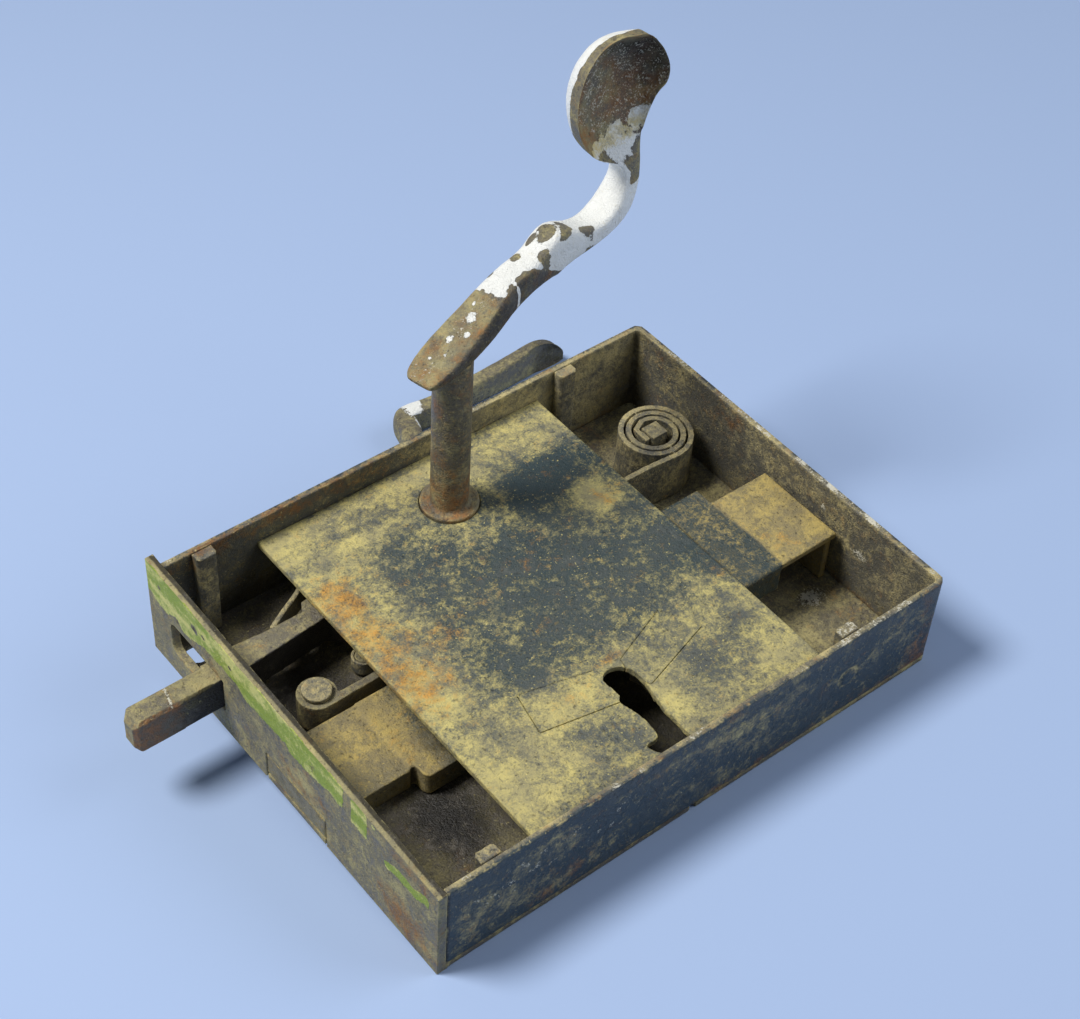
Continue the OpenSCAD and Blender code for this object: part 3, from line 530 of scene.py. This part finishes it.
COVER_DUST = [
    (100, 91, 13, 6, -0.45), (62, 15, 6, 6, -0.4), (36, 38, 5, 4, -0.2), (93, 18, 7, 6, -0.35),
    (107, 24, 7, 6, -0.3), (40, 6, 6, 3, -0.3), (54, 21, 5, 4, -0.25), (86, 32, 8, 6, -0.1),
    (106, 77, 6, 6, 1.0), (104, 108, 10, 4, 0.3), (92.5, 60, 9, 6, -0.15), (43, 16, 12, 7, 0.3),
    (36, 52, 6, 8, 0.3), (110, 11, 6, 5, 0.3), (78, 16, 3, 7, 0.25), (62, 30, 9, 5, 0.15),
    (99, 68, 8, 5, 0.12), (67, 66, 9, 8, 0.14), (51, 107, 10, 4, -0.1), (108, 39, 4, 4, 0.15),
]
COVER_RUST = [
    (36, 83, 4, 4, 0.2), (37, 71, 5, 4, 0.2), (44, 64, 5, 4, 0.3), (40, 52, 5, 5, 0.25),
    (51, 62, 4, 4, 0.2), (108, 74.5, 3.5, 2.5, 0.4), (69, 51, 4, 3, 0.2), (74, 33.6, 5, 1.3, 0.45),
    (60, 30, 6, 4, 0.25), (37, 91, 4, 3, 0.2),
]
COVER_DARK = [(100, 91, 13, 9, 0.4)]


def cover_fields(p, n, edge):
    """An ochre film that is thin over the middle, and orange rust along the front edge."""
    x, y = p[:, 0], p[:, 1]
    collar = np.hypot(x - SPINDLE[0], y - SPINDLE[1])
    middle = patch(x, 46, 122, 6) * patch(y, 36, 97, 6)
    streaks = fbm(p * STREAK, 3, 3, 21) - 0.5
    dust = 0.54 - 0.34 * middle + 0.2 * near(collar, 12, 4) + 0.9 * streaks * ramp(y, 92, 102)
    dust += 0.2 * ramp(-x, -41, -34) + 0.5 * (fbm(p, 24, 3, 5) - 0.5)
    dust += spots(x, y, COVER_DUST)
    rust = 0.2 + 0.42 * near(x, 33, 7) * patch(y, 43, 93, 8) + 0.3 * (fbm(p, 14, 3, 8) - 0.5)
    rust += spots(x, y, COVER_RUST)
    dark = 0.4 + 0.35 * middle + spots(x, y, COVER_DARK)
    top = ramp(n[:, 2], 0.5, 0.9)
    depth = top * (0.05 * rings(x, y, PILLAR_HEADS, 2.2) + 0.14 * rings(x, y, WARD_HEADS, 2.4))
    return {"dark": dark, "dust": dust, "rust": rust, "chalk": 0.12, "depth": depth}


# Dust spots on the floor; the one that takes dust away at (24, 30) is painted shade by the cover's
# edge
FLOOR_DUST_AND_SHADE = [
    (15, 20, 6, 8, 0.3), (132, 25, 10, 8, 0.2), (20, 100, 8, 6, 0.1), (24, 30, 7, 9, -0.4),
]
# Painted shade spots on the floor, in the recesses and under the cover's edges
FLOOR_SHADE = [
    (26, 32, 8, 14, 0.6), (8, 108, 6, 8, 0.5), (118, 40, 6, 10, 0.3), (72, 18, 12, 16, 1.4),
    (22, 78, 10, 12, 0.6), (141, 97, 8, 10, 0.5),
]
FRONT_LAP = 0.5


def floor_fields(p, n, edge):
    """Dusty brown iron with grime and painted shade inside. The front edge is pushed out to meet
    the forend.
    """
    x, y, z = p.T
    inside = ramp(z, 0.8, 1.6)
    rear = inside * ramp(x, 112, 118)
    dust = 0.35 + 0.5 * (fbm(p, 16, 3, 5) - 0.5) + 0.2 * np.maximum(edge, 0) + 0.15 * rear
    dust += inside * spots(x, y, FLOOR_DUST_AND_SHADE)
    rust = 0.22 + 0.4 * (fbm(p, 12, 3, 7) - 0.5) + 0.2 * np.maximum(edge, 0)
    chalk = 0.1 + 0.75 * inside * near(x, 141, 5) * near(y, 31, 3.5)
    # Painted shade over the floor inside the case, except in the rear compartment, and in darker
    # spots
    grime_and_shade = inside * (0.3 * (1 - rear) + spots(x, y, FLOOR_SHADE))
    front_edge = ramp(-n[:, 0], 0.3, 0.8) * patch(x, 1.6, 4, 0.3)
    depth = -FRONT_LAP * front_edge
    return {"dark": 0.6, "dust": dust, "rust": rust, "chalk": chalk, "grime_and_shade": grime_and_shade, "depth": depth}


WALL_DUST = [
    (88, 21.5, 22, 3, 0.4), (30, 5, 6, 3, 0.2), (40, 8, 5, 3, 0.2), (14, 12, 8, 8, 0.35),
    (135, 19, 10, 4, 0.3),
]
WALL_RUST = [(30, 5, 6, 3, 0.3), (40, 8, 5, 3, 0.3), (145, 6, 5, 5, 0.2)]
REAR_RUST = [(75, 22, 7, 6, 0.2), (104, 25, 6, 3, 0.2)]
REAR_CHALK = [(26, 16, 3.2, 1.5, 0.7), (40, 21.5, 1.1, 1.1, 0.8)]


def band_fields(p, n, edge):
    """Blue-black outside with a dusty band near the rim, browner inside with painted shade, crumbs
    on the rim.
    """
    x, y, z = p.T
    low_wall = ramp(-y, -1.2, -0.6)
    high_wall = ramp(y, CASE_W - 1.2, CASE_W - 0.6)
    rear_wall = ramp(x, CASE_L - 1.2, CASE_L - 0.6)
    outside = np.clip(low_wall + high_wall + rear_wall, 0, 1)
    inside = 1 - outside
    rear = inside * ramp(x, CASE_L - 4, CASE_L - 2.2)
    upper = inside * ramp(y, CASE_W - 6, CASE_W - 3)
    top = ramp(n[:, 2], 0.5, 0.9) * ramp(z, RIM_Z - 2, RIM_Z - 1)
    band = ramp(z + 5 * (fbm(p * STREAK, 8, 2, 33) - 0.5), 20, 25)
    along = fbm(p * STREAK, 4, 3, 31) - 0.5
    broken = fbm(p, 8, 4, 9) - 0.5
    ring = low_wall * rings(x, z, WALL_HEADS, 2.9, 0.55)

    dust = 0.34 - 0.26 * outside + 0.4 * broken + top * (0.25 + 0.8 * broken)
    # The upper wall's inner face is lightened from x 70 on, a painted light
    dust += outside * band * (0.12 + 0.9 * along) + upper * (0.36 * ramp(x, 70, 90) - 0.06)
    dust += 0.6 * ring + low_wall * spots(x, z, WALL_DUST)
    rust = 0.22 + 0.12 * top + 0.35 * (fbm(p, 10, 3, 13) - 0.5)
    rust += 0.25 * ramp(-z, -5, -2.4) * ramp(x, 50, 90)
    rust += low_wall * (0.25 * ramp(x, 140, 147) + spots(x, z, WALL_RUST))
    rust += rear * spots(y, z, REAR_RUST)
    rust += 0.3 * upper * ramp(z, 22, 26) * ramp(-x, -74, -60)
    # The upper wall's inner face is also darkened, a painted shade
    dark = 0.3 + 0.65 * outside * (1 - 0.25 * band) + 0.2 * upper

    specks = patch(x, 8, 56, 6) * patch(z, 13, 24, 3) * ramp(fbm(p, 1.6, 3, 41), 0.45, 0.7)
    rear_rim = ramp(x, CASE_L - 4, CASE_L - 2) * patch(y, 24, 50, 8)
    chalk = 0.12 + low_wall * 0.42 * specks
    chalk += top * (0.5 * ramp(broken, -0.02, 0.15) + 0.4 * rear_rim)
    chalk += rear * spots(y, z, REAR_CHALK)
    # Painted shade on the inner walls: the upper wall's left part, low down near the floor, the far
    # upper corner
    grime_and_shade = upper * 0.35 * ramp(-x, -66, -20) + inside * 0.35 * ramp(-z, -16, -3)
    grime_and_shade += inside * 0.5 * near(x, CASE_L, 8) * near(y, CASE_W, 10)
    grime_and_shade += 0.8 * outside * near(x, 2.6, 0.7)
    return {
        "dark": dark, "dust": dust, "rust": rust, "chalk": chalk, "grime_and_shade": grime_and_shade,
        "depth": 0.25 * ring,
    }


GREEN_CHIPS = [
    (95, 25.5, 1.8, 1.4, 0.9), (91, 26, 1, 0.8, 0.7), (80, 26, 1, 0.9, 0.8),
    (110, 26, 1.2, 1.3, 0.7), (103, 21, 2, 1.6, 0.6), (64, 27, 1.5, 1, 0.5), (47, 24, 1.6, 2, 0.5),
]
FOREND_DUST = [
    (52, 13, 12, 4, 0.4), (93, 12, 16, 8, 0.2), (12, 5, 10, 5, 0.25), (30, 14, 20, 6, 0.1),
]
FOREND_RUST = [
    (12, 6, 10, 6, 0.5), (52, 12, 12, 3, 0.3), (12, 26, 9, 2, 0.3), (100, 8, 8, 6, 0.2),
]
FOREND_GRIME = [(42, 14, 1.2, 10, 0.3), (72, 10, 5, 8, 0.25)]


def forend_fields(p, n, edge):
    """A chipped band of green paint along the top, in four lengths, over dusty iron."""
    x, y, z = p.T
    outer = ramp(-n[:, 0], 0.2, 0.6)
    top_z = RIM_Z + FOREND_RISE * y / CASE_W
    lip = ramp(z, top_z - 0.7, top_z - 0.2)
    inner_half = ramp(x - x.min(), 0.8, 1.4)
    wave = 6 * (fbm(p, 10, 4, 23) - 0.5)
    broken = fbm(p, 7, 4, 29) - 0.5

    band = ramp(z + wave, 20, 23) * ramp(y + wave, 33, 36)
    band += patch(y, 26, 32, 0.7) * ramp(z + wave, 19, 22)
    band += patch(y, 3, 20, 2) * patch(z + wave, 19.5, 23, 1) * 0.75
    band += patch(y, 21, 25, 1) * ramp(z, 26, 27.5) * 0.55
    chips = spots(y, z, GREEN_CHIPS)
    paint = 0.95 * band + 0.4 * broken * band - 0.3 * lip - chips
    stain = 0.4 + 1.6 * (fbm(p * FOREND_STREAK, 3, 3, 37) - 0.5)

    dust = 0.5 + 0.5 * (fbm(p, 14, 3, 9) - 0.5) + 0.3 * np.maximum(edge, 0)
    dust += outer * spots(y, z, FOREND_DUST) + 0.4 * lip * (1 - inner_half)
    rust = 0.24 + 0.35 * (fbm(p, 9, 3, 4) - 0.5) + outer * spots(y, z, FOREND_RUST)
    grime_and_shade = (1 - outer) * 0.2 + 0.6 * lip * inner_half
    grime_and_shade += outer * (0.8 * chips + spots(y, z, FOREND_GRIME))
    return {
        "dark": 0.35, "dust": dust, "rust": rust, "paint": paint * outer, "stain": stain,
        "chalk": 0.08 + 0.15 * lip, "grime_and_shade": grime_and_shade,
    }


BOLT_DUST = [(111, 63, 6, 4, 0.25), (20, 62, 6, 5, 0.15), (14, 40, 8, 8, -0.15)]
BOLT_RUST = [(135, 39, 4, 4, 0.35), (140, 55, 4, 3, 0.2), (26, 48, 3, 8, 0.25)]
# Painted shade where the bolt runs under the cover's left edge
BOLT_SHADE = [(33, 44, 5, 10, 0.5)]


def bolt_fields(p, n, edge):
    """Dusty head, dark tail plate with a painted shadow line across it, dustier foot, painted shade
    on sides.
    """
    x, y = p[:, 0], p[:, 1]
    top = ramp(n[:, 2], 0.4, 0.8)
    cloud = fbm(p, 11, 4, 9) - 0.5
    tail = patch(x + 3 * cloud, 106, 130, 0.4)
    foot = ramp(x, 130, 131)
    # A painted shadow line that the cover's right edge casts across the tail
    cover_edge_shadow = near(x, 116.8, 1.2)
    dust = 0.3 + 0.8 * cloud + 0.1 * top
    dust += 0.4 * patch(x, 24, 30, 1.5) - 0.12 * tail + 0.3 * foot
    dust += spots(x, y, BOLT_DUST)
    rust = 0.18 - 0.2 * tail + 0.4 * (fbm(p, 8, 3, 4) - 0.5) + spots(x, y, BOLT_RUST)
    dark = 0.3 + 0.55 * tail + 0.35 * patch(x, 31, 100, 2) - 0.2 * foot
    # Painted shade on the sides and by the cover's left edge, and the painted edge shadow across
    # the tail
    grime_and_shade = (1 - top) * 0.35 + top * (spots(x, y, BOLT_SHADE) + 0.7 * cover_edge_shadow)
    return {"dark": dark, "dust": dust, "rust": rust, "chalk": 0.1, "grime_and_shade": grime_and_shade}


def latch_fields(p, n, edge):
    """Dusty on top, dark on the lower side, with one pale scratch across the top."""
    x, y = p[:, 0], p[:, 1]
    top = ramp(n[:, 2], 0.3, 0.7)
    lower = ramp(-n[:, 1], 0.3, 0.7)
    tip = ramp(-x, 21.5, 23)
    cloud = fbm(p, 7, 4, 9) - 0.5
    scratch = near(x, -11.4 - (91.2 - y) * 1.5 / 6.2, 0.5)
    dust = 0.4 + 0.1 * top + 0.8 * cloud
    dust += 0.5 * near(x, -4, 5) * top - 0.35 * lower + 0.2 * tip
    rust = 0.25 + 0.5 * (fbm(p, 6, 3, 4) - 0.5) + 0.35 * lower * ramp(-x, 6, 14) + 0.2 * tip
    dark = 0.3 + 0.5 * lower * ramp(x, -16, -4)
    chalk = 0.06 + 0.75 * top * scratch + 0.15 * np.maximum(edge, 0)
    grime_and_shade = lower * 0.75 * ramp(x, -16, -2) + 0.4 * ramp(x, 1, 4) * (1 - top)
    return {"dark": dark, "dust": dust, "rust": rust, "chalk": chalk, "grime_and_shade": grime_and_shade}


WHITE_CHIPS = [
    (25.5, 2.3, 1.6, 1.3, 1.0), (29.8, -3.2, 1.8, 1.4, 1.0), (34.4, -0.4, 2.4, 1.6, 1.3),
    (35.6, 1.4, 1.5, 1.2, 1.0), (31.4, 2.4, 1.8, 0.9, 0.9), (47.3, -3, 2.8, 1.2, 1.1),
    (48.5, 4, 2.4, 0.8, 0.9), (18.1, 4, 1.6, 0.9, 0.8), (20.5, -3.4, 4.5, 1.1, 1.0),
]
WHITE_SPECKS = [
    (-0.8, 0.7, 1.8, 1.4, 0.72), (2.2, -2.2, 1.4, 1.2, 0.7), (6.1, 0.1, 2.8, 1.6, 0.62),
    (18.8, -4.2, 0.7, 1.2, 1.4), (-4.5, -1.2, 1, 0.8, 0.6), (-6.8, 1.4, 0.9, 0.8, 0.62),
    (9.4, 1.8, 1.2, 0.7, 0.6),
]


def spoon_fields(p, n, edge):
    """White paint on the lever and the bowl's back, and bare iron on the hub and in the hollow.

    Places are along the lever (u), across it (w), over the hub (h) and behind the bowl's rim.
    """
    along = np.array([math.cos(HANDLE_RAISE), math.sin(HANDLE_RAISE)])
    across = np.array([-along[1], along[0]])
    u = (p[:, :2] - SPINDLE) @ along
    w = (p[:, :2] - SPINDLE) @ across
    h = p[:, 2] - HUB_Z
    out_u = n[:, :2] @ along
    out_w = n[:, :2] @ across
    bowl_u = u - BOWL_U
    bowl_h = h - BOWL_H
    behind = w * math.cos(BOWL_TURN) + bowl_u * math.sin(BOWL_TURN)
    rough = fbm(p, 4, 4, 51) - 0.5

    # Regions
    bowl = ramp(h, 24, 27)
    hollow = bowl * ramp(-out_w, 0.05, 0.35)
    bare_top = 12.5 - 0.62 * np.maximum(u - 25, 0)
    bare_side = ramp(-out_w, 0.4, 0.75) * ramp(bare_top - h, -0.8, 0.8)
    hub = (1 - ramp(u, 11, 14)) * (1 - bare_side)
    top_bend = ramp(h, 13, 16) * (1 - bowl)
    upper_left = 0.4 * bowl_h - 0.8 * bowl_u
    reach = np.hypot(bowl_u / BOWL_HALF_U, bowl_h / BOWL_HALF_H)
    inner_lip = hollow * ramp(reach, 0.68, 0.85) * ramp(upper_left, -4, 4)
    lit_low_left = ramp(-h, -44, -30) * ramp(-u, -66, -54)

    # Paint on the lever, then on the bowl
    white = ramp(u, 11, 15)
    chips = spots(u, w, WHITE_CHIPS)
    specks = spots(u, w, WHITE_SPECKS)
    paint = (1 - bowl) * (0.9 * white - 0.85 * bare_side * white - chips + specks + 0.3 * rough)
    paint -= top_bend * 0.85 * ramp(out_u - 0.5 * out_w, 0.1, 0.6) * (1 + 0.8 * rough)
    hub_side = ramp(-h, -36, -31) * ramp(-out_u, -0.2, 0.3)
    back = ramp(behind + 1.4 * rough, 1.8, 2.8) * (1 - hollow) * (1 - 0.8 * hub_side)
    neck = ramp(0.3 * bowl_u - h, -33, -28) * (0.75 + 1.2 * rough)
    paint += bowl * np.maximum(0.9 * back, neck)
    stain = 0.05 + 0.7 * ramp(-h, -34, -29) * bowl

    # The hollow is lightened as painted light, most towards its lower left
    dust = 0.42 + (0.7 + 0.7 * hollow) * rough + 0.6 * inner_lip + hollow * (0.3 * lit_low_left + 0.1)
    dust += 0.38 * hub - 0.2 * bare_side
    rust = 0.3 + 0.5 * (fbm(p, 5, 3, 4) - 0.5) + 0.3 * hollow + 0.2 * hub
    dark = 0.3 + 0.4 * bare_side
    # Painted shade darkens the hollow towards its upper right
    grime_and_shade = 0.7 * hollow * (1 - inner_lip) * ramp(h + bowl_u * 0.8, 38, 58) + 0.3 * bare_side
    # Pale flecks in the hollow are whitish specks and painted glints
    chalk = 0.12 + 0.36 * hollow * (1 - inner_lip) + 0.32 * hub * near(w, 0, 4)
    depth = 0.8 * hollow * ramp(behind, 0.6, 2.0) * fbm(p, 2.2, 3, 61)
    return {
        "dark": dark, "dust": dust, "rust": rust, "paint": paint, "stain": stain,
        "chalk": chalk, "grime_and_shade": grime_and_shade, "depth": depth,
    }


def case_handle_fields(p, n, edge):
    """Dusty iron with one patch of white paint left on it."""
    x = p[:, 0]
    left = near(x, 107, 4) * ramp(n[:, 2], 0.0, 0.5)
    cloud = fbm(p, 9, 4, 9) - 0.5
    dust = 0.48 + 0.7 * cloud + 0.3 * np.maximum(edge, 0)
    rust = 0.2 + 0.4 * (fbm(p, 6, 3, 4) - 0.5)
    # Painted shade darkens the right end, where the bar bends under
    grime_and_shade = 0.5 * ramp(x, 146, 152)
    return {
        "dark": 0.4, "dust": dust, "rust": rust, "paint": 0.7 * left, "chalk": 0.08, "grime_and_shade": grime_and_shade,
    }


def spindle_fields(p, n, edge):
    """Rusty iron, dustier near the cover plate."""
    foot = near(p[:, 2], 26, 8)
    cloud = fbm(p, 7, 4, 9) - 0.5
    dust = 0.38 + 0.15 * foot + 0.6 * cloud
    rust = 0.35 + 0.25 * foot + 0.5 * (fbm(p, 5, 3, 4) - 0.5)
    return {"dark": 0.45 - 0.2 * foot, "dust": dust, "rust": rust, "chalk": 0.08}


def spring_fields(p, n, edge):
    """Dark steel with dust on what faces up."""
    top = ramp(n[:, 2], 0.3, 0.8)
    cloud = fbm(p, 6, 4, 9) - 0.5
    dust = 0.42 + 0.2 * top + 0.6 * cloud
    rust = 0.2 + 0.4 * (fbm(p, 5, 3, 4) - 0.5)
    return {"dark": 0.45 - 0.3 * top, "dust": dust, "rust": rust, "chalk": 0.1, "grime_and_shade": 0.02}


def iron_fields(p, n, edge):
    """Plain iron with dust on what faces up."""
    top = ramp(n[:, 2], 0.3, 0.8)
    cloud = fbm(p, 6, 4, 9) - 0.5
    dust = 0.36 + 0.2 * top + 0.25 * np.maximum(edge, 0) + 0.6 * cloud
    rust = 0.25 + 0.4 * (fbm(p, 5, 3, 4) - 0.5)
    return {"dark": 0.4, "dust": dust, "rust": rust, "chalk": 0.08}


make_camera()
make_floor()
make_light()

cover_iron = aged_iron("cover_iron", PATINA, PATINA_MID, OCHRE_BRIGHT, ORANGE)
brown_iron = aged_iron("brown_iron", BROWN, BROWN_MID, OCHRE, RUST)
wall_iron = aged_iron("wall_iron", BLUE_BLACK, WALL_MID, OCHRE_PALE, RUST)
bolt_iron = aged_iron("bolt_iron", PATINA, BOLT_MID, OCHRE_YELLOW, ORANGE)
white_iron = aged_iron("white_iron", BROWN, BROWN_MID, OCHRE, RUST, WHITE_PAINT, WHITE_STAIN)
green_iron = aged_iron("green_iron", BROWN, BROWN_MID, OCHRE, RUST, GREEN_PAINT, GREEN_STAIN)

# Each piece: nodes, voxel, smoothing rounds, pit depth, material and fields
REMESHED = [
    (["cover_plate", "cover_pillars"], 0.36, 1, 0.16, cover_iron, cover_fields),
    (["ward_tabs", "ward_rivets"], 0.25, 1, 0.16, cover_iron, cover_fields),
    (["base_plate"], 0.55, 1, 0.22, brown_iron, floor_fields),
    (["rim_band", "stud_rivets"], 0.42, 1, 0.2, wall_iron, band_fields),
    (["wall_studs"], 0.35, 2, 0.2, wall_iron, band_fields),
    (["forend_plate"], 0.38, 1, 0.18, green_iron, forend_fields),
    (["latch_bar"], 0.36, 3, 0.24, brown_iron, latch_fields),
    (["deadbolt"], 0.42, 2, 0.2, bolt_iron, bolt_fields),
    (["tumbler"], 0.36, 2, 0.12, brown_iron, iron_fields),
    (["tumbler_stud"], 0.3, 3, 0.14, wall_iron, iron_fields),
    (["spindle", "follower"], 0.36, 2, 0.2, brown_iron, spindle_fields),
    (["spring_post"], 0.3, 2, 0.14, wall_iron, spring_fields),
    (["ward_bows"], 0.35, 2, 0.1, brown_iron, iron_fields),
    (["handle_pin"], 0.3, 2, 0.08, brown_iron, iron_fields),
    (["latch_pivot"], 0.4, 2, 0.1, brown_iron, iron_fields),
    (["latch_spring_rivets"], 0.25, 2, 0.06, brown_iron, iron_fields),
    (["bolt_guide_pin"], 0.4, 2, 0.1, brown_iron, iron_fields),
    (["tumbler_spring_stud"], 0.3, 2, 0.08, brown_iron, iron_fields),
]
for names, voxel, rounds, pit, material, fields in REMESHED:
    shell = worn(names, voxel, rounds)
    finish(shell, names, material, fields, pit)
    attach(shell, BODY_OF[names[0]])

for name, fields in (("spoon_handle", spoon_fields), ("case_handle", case_handle_fields)):
    shell = forged(name, levels=3)
    finish(shell, [name], white_iron, fields, pit=0.3)
    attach(shell, BODY_OF[name])

# Springs: node, voxel, body, start, end
SPRINGS = [
    ("spiral_spring", 0.2, "latch", (124, 79, 9.5), (91, 82, 9.5)),
    ("latch_spring", 0.35, "latch", (50, 111, 9.5), (20, 94, 9.5)),
    ("tumbler_spring", 0.25, "tumbler_body", (38, 76, 5), (52, 72, 5)),
]
for name, voxel, body, start, end in SPRINGS:
    shell = worn([name], voxel, rounds=5)
    finish(shell, [name], wall_iron, spring_fields, pit=0.06)
    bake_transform(shell)
